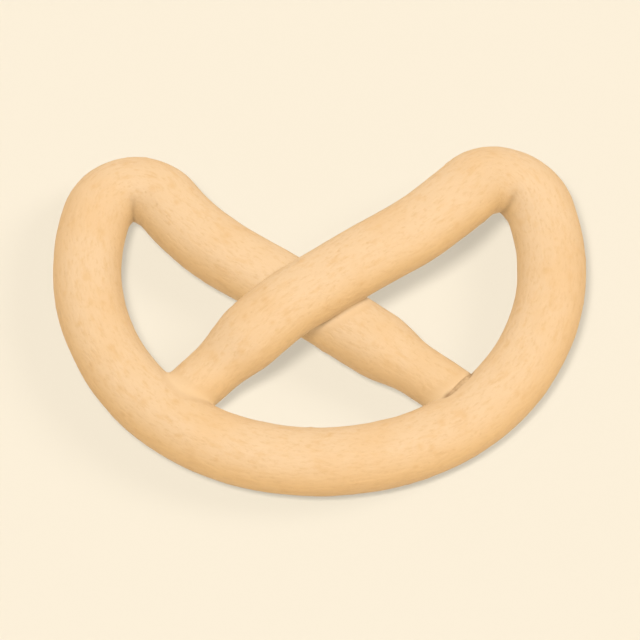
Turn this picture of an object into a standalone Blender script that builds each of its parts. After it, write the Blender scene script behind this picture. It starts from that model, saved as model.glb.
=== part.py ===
"""A soft pretzel: one rope of bread dough, baked as one piece, lying flat as it came off the tray.

The rope runs from the tip of the under arm, round the left lobe, along the belly, round the right
lobe and down the over arm to its tip. The arms cross once, and each tip is pressed into the inside
of the belly. Where the rope meets itself the dough has fused, so the pretzel is one closed solid.

Units are metres and degrees. +Z is up and +Y points from the belly to the lobes. The origin is on
the tray, under the middle of the pretzel's bounding box.
"""

import bmesh
import bpy
import numpy as np
from mathutils import Matrix

MM = 0.001

# The rope
ROPE_RADIUS = 10.3 * MM  # the same all the way, apart from the ends of the arms
TIP_RADIUS = 8.1 * MM  # the arms are rolled thinner at their ends
TAPER_START = 31.0 * MM  # from a tip, where the arm starts to get thinner
TAPER_END = 15.0 * MM  # from a tip, where it has come down to TIP_RADIUS
TIP_ROUNDING = 3.5 * MM  # length of the rounded end
TIP_FACE = 0.5  # radius of the blunt end of a tip, as a part of TIP_RADIUS
BASE_FLAT = 0.8 * MM  # how far the soft dough settled on the tray

# One half of the rope seen from above, from the middle of the belly to the tip of an arm, as a
# chain of arcs: the length of each along the rope, and how far it turns to the left. The other
# half is its mirror image.
BENDS = (
    (24.5 * MM, 17.5),  # the middle of the belly, a little flatter than the rest
    (102.0 * MM, 89.5),  # the end of the belly and the outer side, up to the lobe
    (27.0 * MM, 127.0),  # the tight bend over the top of the lobe
    (29.5 * MM, -22.0),  # the start of the arm, which swings back a little
    (82.5 * MM, 7.6),  # the arm, nearly straight, to its tip inside the belly
)

# The over arm's climb across the under arm, by its length along the rope from the belly's middle
LIFT = 14.0 * MM  # less than the rope's thickness, so the arms press into each other
LIFT_START = 121.0 * MM  # it leaves the tray just before the lobe
LIFT_FULL = 170.0 * MM  # it is at its highest from here on
LIFT_FALL = 46.0 * MM  # from the tip, where it starts to come down
TIP_LIFT = 1.0 * MM  # what is left of the lift at the tip

# The tray, as a block under the pretzel
TRAY_WIDTH = 300.0 * MM
TRAY_THICKNESS = 20.0 * MM

# Fineness of the mesh
RING_SPACING = 3.5 * MM
BEVEL_RESOLUTION = 8  # gives the rope 2 * (8 + 2) = 20 sides
MERGE_DISTANCE = 0.01 * MM


def clear_scene():
    for obj in list(bpy.data.objects):
        bpy.data.objects.remove(obj, do_unlink=True)


def new_collection(name):
    collection = bpy.data.collections.new(name)
    bpy.context.scene.collection.children.link(collection)
    return collection


def crust_material():
    material = bpy.data.materials.new("crust")
    material.use_nodes = True
    shader = material.node_tree.nodes["Principled BSDF"]
    shader.inputs["Base Color"].default_value = (0.88, 0.62, 0.36, 1.0)
    shader.inputs["Roughness"].default_value = 0.6
    shader.inputs["Metallic"].default_value = 0.0
    return material


def ease(t):
    """0 up to t = 0 and 1 from t = 1 on, with a smooth step in between."""
    t = np.clip(t, 0.0, 1.0)
    return t * t * (3.0 - 2.0 * t)


def half_route():
    """Half of the rope's centre line from the belly's middle to a tip: x, y and the arm's lift."""
    bends = np.array(BENDS)
    ends = np.concatenate([[0.0], np.cumsum(bends[:, 0])])
    headings = np.radians(np.concatenate([[0.0], np.cumsum(bends[:, 1])]))
    length = ends[-1]
    along = np.linspace(0.0, length, round(length / RING_SPACING) + 1)
    step = along[1]
    heading = np.interp(along[1:] - step / 2.0, ends, headings)
    x = np.concatenate([[0.0], np.cumsum(np.cos(heading) * step)])
    y = np.concatenate([[0.0], np.cumsum(np.sin(heading) * step)])

    climb = LIFT * ease((along - LIFT_START) / (LIFT_FULL - LIFT_START))
    fall = ease((along - (length - LIFT_FALL)) / LIFT_FALL)
    return np.column_stack([x, y, climb * (1.0 - fall) + TIP_LIFT * fall])


def rope_line():
    """The rope's centre line, from the under arm's tip to the over arm's tip."""
    half = half_route()
    over = half + (0.0, 0.0, ROPE_RADIUS - BASE_FLAT)
    under = half * (-1.0, 1.0, 0.0) + (0.0, 0.0, ROPE_RADIUS - BASE_FLAT)
    return np.concatenate([under[:0:-1], over])


def radius_at(from_tip):
    """The rope's radius, given the distance to the nearer tip along it."""
    taper = ease((from_tip - TAPER_END) / (TAPER_START - TAPER_END))
    inward = np.clip(1.0 - from_tip / TIP_ROUNDING, 0.0, 1.0)
    rounding = np.sqrt(1.0 - (1.0 - TIP_FACE**2) * inward**2)
    return (TIP_RADIUS + (ROPE_RADIUS - TIP_RADIUS) * taper) * rounding


def rope_mesh():
    """The rope as one closed tube that still runs through itself where the dough has fused."""
    line = rope_line()
    run = np.concatenate([[0.0], np.cumsum(np.linalg.norm(np.diff(line, axis=0), axis=1))])
    radius = radius_at(np.minimum(run, run[-1] - run))

    curve = bpy.data.curves.new("rope", "CURVE")
    curve.dimensions = "3D"
    curve.twist_mode = "Z_UP"
    curve.bevel_depth = ROPE_RADIUS
    curve.bevel_resolution = BEVEL_RESOLUTION
    curve.use_fill_caps = True
    spline = curve.splines.new("POLY")
    spline.points.add(len(line) - 1)
    for point, place, size in zip(spline.points, line, radius):
        point.co = (*place, 1.0)
        point.radius = size / ROPE_RADIUS
    rope = bpy.data.objects.new("rope", curve)
    bpy.context.scene.collection.objects.link(rope)
    graph = bpy.context.evaluated_depsgraph_get()
    mesh = bpy.data.meshes.new_from_object(rope.evaluated_get(graph))
    bpy.data.objects.remove(rope, do_unlink=True)

    shape = bmesh.new()
    shape.from_mesh(mesh)
    bmesh.ops.remove_doubles(shape, verts=shape.verts, dist=MERGE_DISTANCE)
    bmesh.ops.recalc_face_normals(shape, faces=shape.faces)
    shape.to_mesh(mesh)
    shape.free()
    return mesh


def centre_over_origin(mesh):
    """Moves the mesh sideways, so that the origin is under the middle of its bounding box."""
    corners = np.array([vertex.co for vertex in mesh.vertices])
    middle = (corners.min(axis=0) + corners.max(axis=0)) / 2.0
    mesh.transform(Matrix.Translation((-middle[0], -middle[1], 0.0)))


def tray_cutter(collection):
    """A block whose top is the tray. It cuts the flat that the pretzel rests on."""
    bpy.ops.mesh.primitive_cube_add(size=1.0)
    cutter = bpy.context.object
    cutter.name = "tray_cutter"
    cutter.dimensions = (TRAY_WIDTH, TRAY_WIDTH, TRAY_THICKNESS)
    bpy.ops.object.transform_apply(location=False, rotation=False, scale=True)
    cutter.location = (0.0, 0.0, -TRAY_THICKNESS / 2.0)
    cutter.hide_render = True
    cutter.display_type = "WIRE"
    for owner in list(cutter.users_collection):
        owner.objects.unlink(cutter)
    collection.objects.link(cutter)
    return cutter


def main():
    clear_scene()
    parts = new_collection("soft_pretzel")
    cutters = new_collection("cutters")

    mesh = rope_mesh()
    centre_over_origin(mesh)
    mesh.materials.append(crust_material())
    pretzel = bpy.data.objects.new("pretzel", mesh)
    parts.objects.link(pretzel)

    settled = pretzel.modifiers.new("settled on the tray", "BOOLEAN")
    settled.operation = "DIFFERENCE"
    settled.solver = "EXACT"
    settled.use_self = True
    settled.object = tray_cutter(cutters)


main()
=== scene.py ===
"""The looks of the soft pretzel.

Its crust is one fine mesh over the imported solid. With it come a pale floor, soft light and a
camera. Lengths are in metres, and the small ones are written as millimetres times MM.
"""

import math

import bmesh
import bpy
import numpy as np
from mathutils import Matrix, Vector, noise


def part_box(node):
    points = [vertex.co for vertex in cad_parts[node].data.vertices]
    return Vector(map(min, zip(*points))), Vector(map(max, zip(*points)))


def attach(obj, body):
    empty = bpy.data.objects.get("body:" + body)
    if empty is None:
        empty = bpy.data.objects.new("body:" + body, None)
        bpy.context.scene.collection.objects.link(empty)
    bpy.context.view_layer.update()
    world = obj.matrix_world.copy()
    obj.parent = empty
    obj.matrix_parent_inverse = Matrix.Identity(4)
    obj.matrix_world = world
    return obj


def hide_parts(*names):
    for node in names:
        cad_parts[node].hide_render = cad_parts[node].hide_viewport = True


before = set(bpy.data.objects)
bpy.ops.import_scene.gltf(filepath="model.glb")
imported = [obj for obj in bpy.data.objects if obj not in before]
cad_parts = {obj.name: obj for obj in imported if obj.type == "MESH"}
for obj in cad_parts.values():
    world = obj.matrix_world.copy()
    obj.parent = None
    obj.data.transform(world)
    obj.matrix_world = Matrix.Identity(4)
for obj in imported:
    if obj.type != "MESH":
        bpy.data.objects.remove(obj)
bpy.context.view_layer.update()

MM = 0.001

# The rope of dough, with the sizes of the solid that it covers
ROPE_RADIUS = 10.3 * MM
TIP_RADIUS = 8.1 * MM
TAPER_START = 31.0 * MM  # from a tip
TAPER_END = 15.0 * MM  # from a tip
BASE_FLAT = 0.8 * MM  # how far the dough settled on the tray

# Half of the rope seen from above, from the belly's middle to a tip: the length of each arc along
# the rope, and how many degrees it turns to the left
BENDS = (
    (24.5 * MM, 17.5),  # the middle of the belly
    (102.0 * MM, 89.5),  # the end of the belly and the outer side
    (27.0 * MM, 127.0),  # the tight bend over the lobe
    (29.5 * MM, -22.0),  # the start of the arm
    (82.5 * MM, 7.6),  # the arm
)

# The over arm's climb, along the rope from the belly's middle
LIFT = 14.0 * MM
LIFT_START = 121.0 * MM
LIFT_FULL = 170.0 * MM
LIFT_FALL = 46.0 * MM  # from the tip

# The tips, which differ a little from the solid's: the under arm's is raised and blunt, and ends on
# the belly's shoulder, and the over arm's is pressed in a little deeper
OVER_TIP_LIFT = 0.2 * MM
OVER_TIP_EDGE = 2.6 * MM  # radius of the edge round the end
UNDER_TIP_LIFT = 0.9 * MM
UNDER_TIP_RISE = 26.0 * MM  # from the tip, where it starts to rise
UNDER_TIP_BACK = 2.0 * MM  # how much shorter the under arm is
UNDER_TIP_EDGE = 0.4 * MM

# The fine mesh
VOXEL = 0.72 * MM
LINE_SPACING = 1.0 * MM
RING_SIDES = 24
CHUNK = 8000  # points that are worked on at a time, to save memory
STRANDS_APART = 28.0 * MM  # two places this far apart along the rope count as two strands
TINY = 1e-9  # metres, against a division by zero
LEAST_SLOPE = 0.2  # squared, so that a step onto the surface stays short
EVENING = 0.6  # how far each round moves a point towards the middle of its neighbours
CREASE_BAND = 1.3 * MM  # the faces this near a crease are divided once more
RIM_BAND = 3.2 * MM  # and so are those this near the blunt tip's end,
RIM_GAP = 3.0 * RIM_BAND  # where the belly is no farther off than this
BASE_EDGE = 0.22 * MM  # how softly the side turns into the flat underneath

# Fillets where the dough has fused, as the blend's reach. A tip's own fillet holds as far as
# TIP_REACH from the tip, and gives way to the crossing's over the same length again.
CROSSING_FILLET = 1.6 * MM
OVER_TIP_FILLET = 1.6 * MM
UNDER_TIP_FILLET = 0.25 * MM
TIP_REACH = 20.0 * MM

# The thin grooves where two strands meet, darkened with painted shade, with the strength of each
# kind
SEAM_WIDTH = 0.75 * MM
SEAM_DEPTH = 0.35 * MM
TIP_SEAM = 0.85
TIP_SEAM_FADE = (0.4 * MM, 1.2 * MM)  # from the blunt tip: where the fade starts, and its length
CROSSING_SEAM = 0.5
CROSSING_SEAM_START = (30.0 * MM, 8.0 * MM)  # from the nearer tip, likewise
FOLD_SEAM = 0.6
FOLD_SEAM_WIDTH = 2.0 * MM
FOLD_SEAM_INSIDE = (0.45, 0.5)  # how far round to the inside of the bend, likewise

# The fold on the inside of each lobe's tight bend
FOLD_DEPTH = 1.2 * MM
FOLD_WIDTH = 5.0 * MM  # along the rope's middle, which is much longer than the inside of the bend
FOLD_INSIDE = (0.15, 0.7)  # how far round to the inside it starts, and the length of its rise

# The skin's relief. Each kind of noise has its height, the size of its lumps, the number of
# octaves and its seed.
LUMPS = (0.16 * MM, 24.0 * MM, 2, 1)
DIMPLES = (0.08 * MM, 6.0 * MM, 3, 2)
WRINKLES = (0.06 * MM, 2.2 * MM, 2, 3)
WRINKLE_STRETCH = (0.3, 1.0, 1.0)  # along the rope, across it and upwards
SEED_STEP = np.array([17.3, -9.1, 5.7])  # moves each seed to another place in the noise
OCTAVE_FALL = 1.0
OCTAVE_STEP = 2.0  # each octave is this much finer than the one before
CREASE_WIDTH = 5.0 * MM  # the relief fades out this near a crease
BLISTERS = 300
BLISTER_RADIUS = (0.9 * MM, 2.0 * MM)
BLISTER_HEIGHT = (0.06 * MM, 0.2 * MM)
BLISTER_SEED = 7

# The crust's colours, linear. The marks have a strength too, and each covers those before it.
# The top's colour is the sides' made paler and whiter: a painted sheen where the tops face the
# light
PAINTED_SHEEN_TOP = (0.715, 0.480, 0.262, 1.0)
SIDE_COLOUR = (0.72, 0.442, 0.188, 1.0)
PATCH = (0.5, (0.69, 0.420, 0.185, 1.0))
SPECKLE = (0.55, (0.66, 0.395, 0.170, 1.0))
BLISTER = (0.5, (0.65, 0.375, 0.150, 1.0))
CREASE = (0.3, (0.74, 0.500, 0.265, 1.0))
# The seams' dark colour is painted shade, in the grooves and in the lobes' inner corners
SEAM_SHADE = (1.0, (0.30, 0.160, 0.060, 1.0))
# Toast where the dough sat on the tray, reaching up the lower side as painted shade
TOAST_AND_SHADE = (0.85, (0.42, 0.225, 0.082, 1.0))
# Painted shade in the low places of the fine wrinkles
VALLEY_SHADE = (0.45, (0.62, 0.370, 0.160, 1.0))
# Painted shade in the pores
PORE_SHADE = (0.2, (0.50, 0.27, 0.10, 1.0))

# The sizes of the marks. The scales count features in each metre.
CLOUD_SCALE = 45.0
SPECKLE_SCALE = 420.0
SKIN_SCALE = 1100.0
PORE_SCALE = 330.0
PORELESS = 0.72  # share of the cells without a pore
SKIN_STRETCH = (0.4, 1.0, 1.0)  # along the rope, across it and upwards
TOAST_AND_SHADE_HEIGHT = (-0.8 * MM, 6.5 * MM)  # where it is full and where it has gone, before it wavers
TOAST_AND_SHADE_WAVER = 2.0 * MM  # how much higher it reaches at most
ROUGHNESS = (0.54, 0.68)  # of plain skin and of speckle
WRINKLE_BUMP = (0.8, 0.35 * MM)  # strength and distance
PORE_BUMP = (0.6, 0.14 * MM)

# Light: each lamp's direction round from +X and above the floor and its width, in degrees, how
# bright it makes a white surface that faces it, and whether it casts shadows
LAMPS = (
    ("key", 248.0, 69.0, 14.0, 0.50, True),
    ("top", 348.0, 73.0, 20.0, 0.285, False),
    ("right", 15.0, 40.0, 24.0, 0.18, True),
    ("back", 120.0, 25.0, 40.0, 0.26, False),
    ("front", 300.0, 30.0, 40.0, 0.12, False),
)
SKY_COLOUR = (1.0, 0.985, 0.96, 1.0)
SKY_AT_FLOOR = 1.77  # strength of the bright ring
SKY_ABOVE = 0.35  # strength of the rest
SKY_RISE = 0.25  # the sine of the height above the floor where the bright ring has faded
FLOOR_COLOUR = (0.70, 0.626, 0.503, 1.0)
FLOOR_ROUGHNESS = 0.9
FLOOR_GLOSS = 0.2
FLOOR_SIZE = 6.0

# Camera
CAMERA_ELEVATION = math.radians(60.0)
CAMERA_DISTANCE = 6.0
CAMERA_TARGET = Vector((0.18 * MM, 2.06 * MM, ROPE_RADIUS - BASE_FLAT))
FRAME_WIDTH = 192.0 * MM


# ---------------------------------------------------------------- the rope's line

def ease(value, start, length):
    """0 up to the start and 1 from that length past it, with a smooth step in between."""
    t = np.clip((value - start) / length, 0.0, 1.0)
    return t * t * (3.0 - 2.0 * t)


def half_route():
    """Half of the rope, from the belly's middle to a tip: x, y and the lift of either arm."""
    bends = np.array(BENDS)
    ends = np.concatenate([[0.0], np.cumsum(bends[:, 0])])
    headings = np.radians(np.concatenate([[0.0], np.cumsum(bends[:, 1])]))
    length = ends[-1]
    along = np.linspace(0.0, length, round(length / LINE_SPACING) + 1)
    step = along[1]
    heading = np.interp(along[1:] - step / 2.0, ends, headings)
    x = np.concatenate([[0.0], np.cumsum(np.cos(heading) * step)])
    y = np.concatenate([[0.0], np.cumsum(np.sin(heading) * step)])
    climb = LIFT * ease(along, LIFT_START, LIFT_FULL - LIFT_START)
    fall = ease(along, length - LIFT_FALL, LIFT_FALL)
    over_lift = climb * (1.0 - fall) + OVER_TIP_LIFT * fall
    under_lift = UNDER_TIP_LIFT * ease(along, length - UNDER_TIP_RISE, UNDER_TIP_RISE)
    return x, y, over_lift, under_lift


def rope_line():
    """Points along the rope's middle in the solid's place, and which of them is the belly's middle.

    They run from the under arm's tip to the over arm's.
    """
    x, y, over_lift, under_lift = half_route()
    bed = ROPE_RADIUS - BASE_FLAT
    over = np.column_stack([x, y, bed + over_lift])
    under_count = len(x) - round(UNDER_TIP_BACK / LINE_SPACING)
    under = np.column_stack([-x, y, bed + under_lift])[:under_count]
    line = np.concatenate([under[:0:-1], over])
    line[:, 1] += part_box("pretzel")[0][1] + ROPE_RADIUS - line[:, 1].min()
    return line, len(under) - 1


# The rope's middle line, and at each of its points the distance along the rope, the rope's own
# three directions and its radius
LINE, MIDDLE = rope_line()
RUN = np.concatenate([[0.0], np.cumsum(np.linalg.norm(np.diff(LINE, axis=0), axis=1))])
TANGENT = np.gradient(LINE, RUN, axis=0)
TANGENT /= np.linalg.norm(TANGENT, axis=1)[:, None]
SIDE = np.cross(TANGENT, (0.0, 0.0, 1.0))
SIDE /= np.linalg.norm(SIDE, axis=1)[:, None]
UP = np.cross(SIDE, TANGENT)
FROM_TIP = np.minimum(RUN, RUN[-1] - RUN)
TAPER = ease(FROM_TIP, TAPER_END, TAPER_START - TAPER_END)
RADIUS = TIP_RADIUS + (ROPE_RADIUS - TIP_RADIUS) * TAPER


def lobe_middles():
    """How far along the rope the middle of each lobe's tight bend is."""
    half_way = round((BENDS[0][0] + BENDS[1][0] + BENDS[2][0] / 2.0) / LINE_SPACING)
    return RUN[MIDDLE - half_way], RUN[MIDDLE + half_way]


# ---------------------------------------------------------------- the rope's surface

def row_dot(a, b):
    """The dot product of each row of a with the same row of b."""
    return np.einsum("ij,ij->i", a, b)


def on_line(points, squares):
    """The place on the rope's middle line that is nearest each point, also between its samples.

    It takes the squared distances to the samples, each less the point's own square, and gives the
    run along the line, the offset from it and the distance.
    """
    nearest = squares.argmin(axis=1)
    best_run = RUN[nearest]
    best_offset = points - LINE[nearest]
    best = row_dot(best_offset, best_offset)
    for back in (1, 0):
        start = np.clip(nearest - back, 0, len(LINE) - 2)
        span = LINE[start + 1] - LINE[start]
        share = row_dot(points - LINE[start], span) / row_dot(span, span)
        share = np.clip(share, 0.0, 1.0)
        offset = points - LINE[start] - span * share[:, None]
        far = row_dot(offset, offset)
        closer = far < best
        best = np.where(closer, far, best)
        run = RUN[start] + (RUN[start + 1] - RUN[start]) * share
        best_run = np.where(closer, run, best_run)
        best_offset = np.where(closer[:, None], offset, best_offset)
    return best_run, best_offset, np.sqrt(best)


def strand_distance(run, offset, far):
    """Signed distance to the strand that on_line found, and the direction away from it.

    The ends are flat discs with rounded edges.
    """
    value = far - np.interp(run, RUN, RADIUS)
    slope = offset / far[:, None]
    for out, edge, from_tip in (
        (-TANGENT[0], UNDER_TIP_EDGE, run),
        (TANGENT[-1], OVER_TIP_EDGE, RUN[-1] - run),
    ):
        near = from_tip < edge
        beyond = (offset[near] @ out) * (from_tip[near] <= 0.0)
        past = edge - from_tip[near] + beyond
        beside = offset[near] - beyond[:, None] * out
        width = np.linalg.norm(beside, axis=1)
        beside = beside / width[:, None]
        outside = width - TIP_RADIUS + edge
        corner = np.hypot(np.maximum(outside, 0.0), np.maximum(past, 0.0))
        value[near] = np.minimum(np.maximum(outside, past), 0.0) + corner - edge
        round_edge = np.maximum(outside, 0.0)[:, None] * beside
        round_edge += np.maximum(past, 0.0)[:, None] * out
        round_edge /= np.maximum(corner, TINY)[:, None]
        inner = np.where((outside > past)[:, None], beside, out)
        slope[near] = np.where((corner > 0.0)[:, None], round_edge, inner)
    return value, slope


def fillet_at(run, other):
    """The fillet's reach, by the two places on the rope that meet."""
    from_under_tip = np.minimum(run, other)
    from_over_tip = RUN[-1] - np.maximum(run, other)
    under_tip = 1.0 - ease(from_under_tip, TIP_REACH, TIP_REACH)
    over_tip = 1.0 - ease(from_over_tip, TIP_REACH, TIP_REACH)
    reach = CROSSING_FILLET + (UNDER_TIP_FILLET - CROSSING_FILLET) * under_tip
    return reach + (OVER_TIP_FILLET - reach) * over_tip


def rope_field(points):
    """Signed distance to the fused rope, and the direction away from it.

    It also gives the runs of the nearest strand and of the next one, and how much farther away the
    next one is.
    """
    values, runs, others, gaps = np.empty((4, len(points)))
    slopes = np.empty((len(points), 3))
    line_squares = row_dot(LINE, LINE)
    for at in range(0, len(points), CHUNK):
        chunk = slice(at, at + CHUNK)
        part = points[chunk]
        squares = line_squares[None, :] - 2.0 * part @ LINE.T
        run, offset, far = on_line(part, squares)
        squares[np.abs(RUN[None, :] - run[:, None]) < STRANDS_APART] = np.inf
        run_2, offset_2, far_2 = on_line(part, squares)
        value, slope = strand_distance(run, offset, far)
        value_2, slope_2 = strand_distance(run_2, offset_2, far_2)
        reach = fillet_at(run, run_2)
        share = np.clip(0.5 + 0.5 * (value_2 - value) / reach, 0.0, 1.0)
        values[chunk] = value_2 + (value - value_2) * share - reach * share * (1.0 - share)
        slopes[chunk] = slope * share[:, None] + slope_2 * (1.0 - share)[:, None]
        second = value_2 < value
        runs[chunk] = np.where(second, run_2, run)
        others[chunk] = np.where(second, run, run_2)
        gaps[chunk] = np.abs(value_2 - value)
    return values, slopes, runs, others, gaps


def settle(points, rounds):
    """Moves points onto the surface, by short steps."""
    for _ in range(rounds):
        value, slope, _, _, _ = rope_field(points)
        square = np.maximum(row_dot(slope, slope), LEAST_SLOPE)
        points = points - slope * (np.clip(value, -MM, MM) / square)[:, None]
    return points


def tube_mesh():
    """The rope as a plain tube, for the remesher to make one skin of."""
    turn = np.linspace(0.0, 2.0 * math.pi, RING_SIDES, endpoint=False)
    ring = np.cos(turn)[None, :, None] * SIDE[:, None, :]
    ring = ring + np.sin(turn)[None, :, None] * UP[:, None, :]
    verts = (LINE[:, None, :] + ring * RADIUS[:, None, None]).reshape(-1, 3)
    faces = []
    for i in range(len(LINE) - 1):
        for j in range(RING_SIDES):
            k = (j + 1) % RING_SIDES
            a, b = i * RING_SIDES, (i + 1) * RING_SIDES
            faces.append((a + j, a + k, b + k, b + j))
    last = (len(LINE) - 1) * RING_SIDES
    faces.append(tuple(reversed(range(RING_SIDES))))
    faces.append(tuple(range(last, last + RING_SIDES)))
    mesh = bpy.data.meshes.new("crust")
    mesh.from_pydata(verts.tolist(), [], faces)
    return mesh


def read_points(mesh):
    points = np.empty(len(mesh.vertices) * 3, np.float32)
    mesh.vertices.foreach_get("co", points)
    return points.reshape(-1, 3).astype(float)


def write_points(mesh, points):
    mesh.vertices.foreach_set("co", points.astype(np.float32).ravel())


def neighbours_mean(points, edges):
    """The middle of each point's neighbours, which the edges join it to."""
    total = np.zeros_like(points)
    count = np.zeros(len(points))
    for a, b in ((0, 1), (1, 0)):
        for axis in range(3):
            total[:, axis] += np.bincount(edges[:, a], points[edges[:, b], axis], len(points))
        count += np.bincount(edges[:, a], minlength=len(points))
    return total / count[:, None]


def spread_evenly(mesh, rounds):
    """Evens out the mesh on the rope's surface."""
    edges = np.empty(len(mesh.edges) * 2, np.int32)
    mesh.edges.foreach_get("vertices", edges)
    edges = edges.reshape(-1, 2)
    points = settle(read_points(mesh), rounds=3)
    for _ in range(rounds):
        points = points + (neighbours_mean(points, edges) - points) * EVENING
        points = settle(points, rounds=1)
    write_points(mesh, settle(points, rounds=2))


def refine(mesh):
    """Divides the faces along the creases and round the blunt tip once more."""
    _, _, run, _, gap = rope_field(read_points(mesh))
    sharp = (gap < CREASE_BAND) | ((run < RIM_BAND) & (gap < RIM_GAP))
    shape = bmesh.new()
    shape.from_mesh(mesh)
    chosen = [edge for edge in shape.edges if all(sharp[vertex.index] for vertex in edge.verts)]
    bmesh.ops.subdivide_edges(shape, edges=chosen, cuts=1, use_grid_fill=True)
    shape.to_mesh(mesh)
    shape.free()


def make_skin():
    """One closed fine mesh of the fused rope, evenly spaced and lying on its surface."""
    rough = bpy.data.objects.new("rough", tube_mesh())
    bpy.context.scene.collection.objects.link(rough)
    remesh = rough.modifiers.new("skin", "REMESH")
    remesh.mode = "VOXEL"
    remesh.voxel_size = VOXEL
    graph = bpy.context.evaluated_depsgraph_get()
    mesh = bpy.data.meshes.new_from_object(rough.evaluated_get(graph))
    bpy.data.objects.remove(rough, do_unlink=True)
    mesh.name = "crust"
    spread_evenly(mesh, rounds=4)
    refine(mesh)
    spread_evenly(mesh, rounds=2)
    return mesh


def unevenness(points, height, size, octaves, seed):
    """Smooth noise of about minus to plus the height, with lumps of the given size."""
    settings = (OCTAVE_FALL, OCTAVE_STEP, octaves)
    places = points / size + seed * SEED_STEP
    values = [
        noise.fractal(Vector(place), *settings, noise_basis="PERLIN_ORIGINAL")
        for place in places
    ]
    return height * np.array(values)


def blisters(points, normal):
    """Small flat domes, where gas lifted the skin.

    It gives the height at each point, and a share that is 1 in a dome's middle and 0 at its edge.
    """
    pick = np.random.default_rng(BLISTER_SEED)
    height = np.zeros(len(points))
    inside = np.zeros(len(points))
    for centre in pick.choice(len(points), BLISTERS, replace=False):
        size = pick.uniform(*BLISTER_RADIUS)
        top = pick.uniform(*BLISTER_HEIGHT)
        away = np.linalg.norm(points - points[centre], axis=1)
        dome = np.clip(1.0 - (away / size) ** 2, 0.0, 1.0) ** 2
        same_side = normal @ normal[centre] > 0.5
        dome = dome * same_side
        height = np.maximum(height, top * dome)
        inside = np.maximum(inside, dome)
    return height, inside


def fold(run, inward):
    """The depth of the fold that the dough buckles into on the inside of each tight bend."""
    depth = np.zeros(len(run))
    for middle in lobe_middles():
        depth += np.exp(-np.abs(run - middle) / FOLD_WIDTH) * ease(inward, *FOLD_INSIDE)
    return FOLD_DEPTH * depth


def seam_lines(run, other, gap, inward):
    """How strong the thin groove and its painted shade are at each point, where two strands meet.
    """
    from_under_tip = np.minimum(run, other)
    from_tip = np.minimum(from_under_tip, RUN[-1] - np.maximum(run, other))
    strength = TIP_SEAM * (1.0 - ease(from_under_tip, *TIP_SEAM_FADE))
    strength += CROSSING_SEAM * ease(from_tip, *CROSSING_SEAM_START)
    line = np.exp(-(gap / SEAM_WIDTH) ** 2) * strength
    for middle in lobe_middles():
        corner = np.exp(-np.abs(run - middle) / FOLD_SEAM_WIDTH) * ease(inward, *FOLD_SEAM_INSIDE)
        line = np.maximum(line, FOLD_SEAM * corner)
    return line


def at_run(run, samples):
    """The samples along the rope's middle line, each of three numbers, at any run along it."""
    return np.column_stack([np.interp(run, RUN, samples[:, axis]) for axis in range(3)])


def crust_piece():
    """The crust, with its relief and with what its material needs to know about each point."""
    mesh = make_skin()
    points = read_points(mesh)
    _, slope, run, other, gap = rope_field(points)
    normal = slope / np.linalg.norm(slope, axis=1)[:, None]

    # Rope coordinates: along it, and across it in its own side and up directions
    offset = points - at_run(run, LINE)
    across = row_dot(offset, at_run(run, SIDE))
    above = row_dot(offset, at_run(run, UP))
    rope = np.column_stack([run, across, above])
    inward = -across / np.interp(run, RUN, RADIUS)
    crease = 1.0 - ease(gap, 0.0, CREASE_WIDTH)
    seam_groove_and_shade = seam_lines(run, other, gap, inward)

    # Unevenness of hand-rolled, proofed and baked dough, which the creases squeeze out
    relief = unevenness(points, *LUMPS)
    relief += unevenness(points, *DIMPLES)
    relief += unevenness(rope * WRINKLE_STRETCH, *WRINKLES)
    domes, blister = blisters(points, normal)
    relief += domes
    relief = relief * (1.0 - crease) - fold(run, inward) - SEAM_DEPTH * seam_groove_and_shade
    points = points + normal * relief[:, None]

    # The flat that the dough settled into on its tray, as a softened form of max(z, 0)
    z = points[:, 2]
    points[:, 2] = (z + np.sqrt(z * z + (2.0 * BASE_EDGE) ** 2)) / 2.0
    points[:, 2] -= points[:, 2].min()

    write_points(mesh, points)
    for name, kind, field, values in (
        ("rope", "FLOAT_VECTOR", "vector", rope),
        ("crease", "FLOAT", "value", crease),
        ("seam_groove_and_shade", "FLOAT", "value", seam_groove_and_shade),
        ("blister", "FLOAT", "value", blister * (1.0 - crease)),
    ):
        layer = mesh.attributes.new(name, kind, "POINT")
        layer.data.foreach_set(field, values.astype(np.float32).ravel())
    mesh.polygons.foreach_set("use_smooth", [True] * len(mesh.polygons))
    mesh.update()
    piece = bpy.data.objects.new("crust", mesh)
    bpy.context.scene.collection.objects.link(piece)
    return piece


# ---------------------------------------------------------------- materials

class Nodes:
    """A short way to write a material's nodes."""

    def __init__(self, name):
        self.material = bpy.data.materials.new(name)
        self.material.use_nodes = True
        self.tree = self.material.node_tree
        self.shader = self.tree.nodes["Principled BSDF"]

    def add(self, kind, inputs=(), **settings):
        """A node of this kind. Each input is a number, a vector or the output to link it to."""
        made = self.tree.nodes.new("ShaderNode" + kind)
        for name, value in settings.items():
            setattr(made, name, value)
        for name, value in dict(inputs).items():
            if hasattr(value, "is_output"):
                self.tree.links.new(value, made.inputs[name])
            else:
                made.inputs[name].default_value = value
        return made

    def attribute(self, name, output="Fac"):
        return self.add("Attribute", attribute_name=name).outputs[output]

    def noise(self, vector, scale, detail, roughness):
        inputs = {"Vector": vector, "Scale": scale, "Detail": detail, "Roughness": roughness}
        return self.add("TexNoise", inputs).outputs["Fac"]

    def step(self, value, low, high, to_low=0.0, to_high=1.0):
        """A smooth step from to_low, where the value is low, to to_high, where it is high."""
        inputs = {"Value": value, "From Min": low, "From Max": high,
                  "To Min": to_low, "To Max": to_high}
        return self.add("MapRange", inputs, interpolation_type="SMOOTHSTEP").outputs["Result"]

    def math(self, operation, a, b):
        return self.add("Math", {0: a, 1: b}, operation=operation).outputs[0]

    def blend(self, share, a, b):
        """The colour a where the share is 0 and b where it is 1."""
        return self.add("Mix", {0: share, 6: a, 7: b}, data_type="RGBA").outputs[2]


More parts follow.
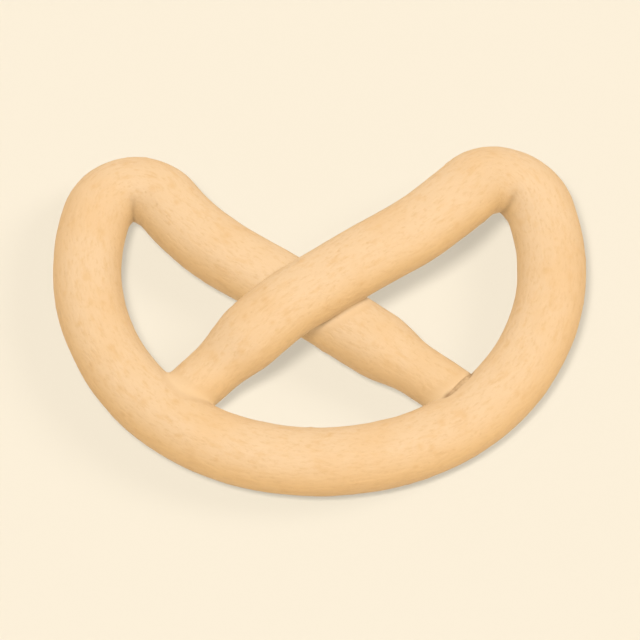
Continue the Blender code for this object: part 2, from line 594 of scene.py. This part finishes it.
def crust_material():
    nodes = Nodes("baked_crust")
    rope = nodes.attribute("rope", "Vector")
    crease = nodes.attribute("crease")
    open_skin = nodes.math("SUBTRACT", 1.0, crease)
    place = nodes.add("TexCoord").outputs["Object"]
    above = nodes.add("SeparateXYZ", {"Vector": rope}).outputs["Z"]
    height = nodes.add("SeparateXYZ", {"Vector": place}).outputs["Z"]
    stretched = nodes.add("Mapping", {"Vector": rope, "Scale": SKIN_STRETCH}).outputs["Vector"]

    # Noises: large soft patches, fine speckle, and small wrinkles that run with the rope
    cloud = nodes.noise(place, CLOUD_SCALE, detail=3.0, roughness=0.55)
    fine = nodes.noise(stretched, SPECKLE_SCALE, detail=4.0, roughness=0.6)
    skin = nodes.noise(stretched, SKIN_SCALE, detail=4.0, roughness=0.6)
    skin = nodes.math("MULTIPLY", skin, open_skin)
    patch = nodes.step(cloud, 0.4, 0.7)
    speckle = nodes.math("MULTIPLY", nodes.step(fine, 0.5, 0.72), open_skin)
    # Painted shade in the low places of the fine wrinkles
    valley_shade = nodes.math("MULTIPLY", nodes.step(skin, 0.30, 0.50, 1.0, 0.0), open_skin)

    # Toasted where it sat on the tray, and darker up the lower side as painted shade of the
    # underside, with a wavering edge
    wavering = nodes.math("ADD", height, nodes.math("MULTIPLY", cloud, -TOAST_AND_SHADE_WAVER))
    toast_and_shade = nodes.step(wavering, *TOAST_AND_SHADE_HEIGHT, 1.0, 0.0)

    # Pores: a few of the cells hold a pit, darkened with painted shade
    cells = nodes.add("TexVoronoi", {"Vector": place, "Scale": PORE_SCALE, "Randomness": 1.0})
    draw = nodes.add("SeparateXYZ", {"Vector": cells.outputs["Color"]}).outputs["X"]
    pit = nodes.step(cells.outputs["Distance"], 0.0, 0.2, 1.0, 0.0)
    pit = nodes.math("MULTIPLY", pit, nodes.math("GREATER_THAN", draw, PORELESS))

    # Colour: paler on top, as a painted sheen over the deeper colour of the sides, and then the
    # marks
    top = nodes.step(above, 0.1 * ROPE_RADIUS, 0.95 * ROPE_RADIUS)
    colour = nodes.blend(top, SIDE_COLOUR, PAINTED_SHEEN_TOP)
    for mark, (strength, mark_colour) in (
        (patch, PATCH),
        (speckle, SPECKLE),
        (nodes.attribute("blister"), BLISTER),
        (crease, CREASE),
        # The seams: painted shade along the grooves
        (nodes.attribute("seam_groove_and_shade"), SEAM_SHADE),
        # Toast, and painted shade up the lower side
        (toast_and_shade, TOAST_AND_SHADE),
        (valley_shade, VALLEY_SHADE),
        (pit, PORE_SHADE),
    ):
        share = nodes.math("MULTIPLY", mark, strength)
        colour = nodes.blend(share, colour, mark_colour)
    nodes.tree.links.new(colour, nodes.shader.inputs["Base Color"])

    # Gloss: satin, and a little drier in the speckle
    gloss = nodes.step(fine, 0.3, 0.7, *ROUGHNESS)
    nodes.tree.links.new(gloss, nodes.shader.inputs["Roughness"])

    # Relief of the wrinkles and the pores
    strength, distance = WRINKLE_BUMP
    wrinkled = nodes.add("Bump", {"Height": skin, "Strength": strength, "Distance": distance})
    strength, distance = PORE_BUMP
    pitted = nodes.add("Bump", {"Height": pit, "Strength": strength, "Distance": distance,
                                "Normal": wrinkled.outputs["Normal"]}, invert=True)
    nodes.tree.links.new(pitted.outputs["Normal"], nodes.shader.inputs["Normal"])
    return nodes.material


def floor_material():
    nodes = Nodes("floor_paint")
    nodes.shader.inputs["Base Color"].default_value = FLOOR_COLOUR
    nodes.shader.inputs["Roughness"].default_value = FLOOR_ROUGHNESS
    nodes.shader.inputs["Specular IOR Level"].default_value = FLOOR_GLOSS
    return nodes.material


# ---------------------------------------------------------------- floor, light, camera

def add_floor():
    bpy.ops.mesh.primitive_plane_add(size=FLOOR_SIZE)
    floor = bpy.context.object
    floor.name = "floor"
    floor.data.materials.append(floor_material())


def add_sky():
    """A bright ring all round at the floor's level, and an even soft light from above it."""
    world = bpy.data.worlds.new("studio")
    world.use_nodes = True
    tree = world.node_tree
    sky = tree.nodes["Background"]
    sky.inputs["Color"].default_value = SKY_COLOUR
    place = tree.nodes.new("ShaderNodeTexCoord")
    axes = tree.nodes.new("ShaderNodeSeparateXYZ")
    fade = tree.nodes.new("ShaderNodeMapRange")
    fade.inputs["From Max"].default_value = SKY_RISE
    fade.inputs["To Min"].default_value = SKY_AT_FLOOR
    fade.inputs["To Max"].default_value = SKY_ABOVE
    tree.links.new(place.outputs["Generated"], axes.inputs["Vector"])
    tree.links.new(axes.outputs["Z"], fade.inputs["Value"])
    tree.links.new(fade.outputs["Result"], sky.inputs["Strength"])
    bpy.context.scene.world = world


def add_lamps():
    """Soft suns, so that the floor is lit evenly. Those without shadows leave no gloss either."""
    for name, azimuth, elevation, width, brightness, shadow in LAMPS:
        lamp = bpy.data.lights.new(name, "SUN")
        lamp.energy = math.pi * brightness
        lamp.use_shadow = shadow
        lamp.angle = math.radians(width)
        softbox = bpy.data.objects.new(name, lamp)
        turn = math.radians(azimuth)
        rise = math.radians(elevation)
        flat = math.cos(rise)
        towards = Vector((math.cos(turn) * flat, math.sin(turn) * flat, math.sin(rise)))
        softbox.rotation_euler = towards.to_track_quat("Z", "Y").to_euler()
        softbox.visible_glossy = shadow
        bpy.context.scene.collection.objects.link(softbox)


def add_camera():
    """Looks down from the belly's side, through a very long lens."""
    view = bpy.data.cameras.new("camera")
    view.lens = view.sensor_width * CAMERA_DISTANCE / FRAME_WIDTH
    view.clip_end = 4.0 * CAMERA_DISTANCE
    camera = bpy.data.objects.new("camera", view)
    back = Vector((0.0, -math.cos(CAMERA_ELEVATION), math.sin(CAMERA_ELEVATION)))
    camera.location = CAMERA_TARGET + CAMERA_DISTANCE * back
    camera.rotation_euler = (math.radians(90.0) - CAMERA_ELEVATION, 0.0, 0.0)
    bpy.context.scene.collection.objects.link(camera)
    bpy.context.scene.camera = camera


crust = crust_piece()
crust.data.materials.append(crust_material())
crust.visible_diffuse = False  # keeps the bread's warm light off the floor
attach(crust, "root")
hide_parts("pretzel")
add_floor()
add_sky()
add_lamps()
add_camera()
bpy.context.scene.view_settings.view_transform = "Standard"
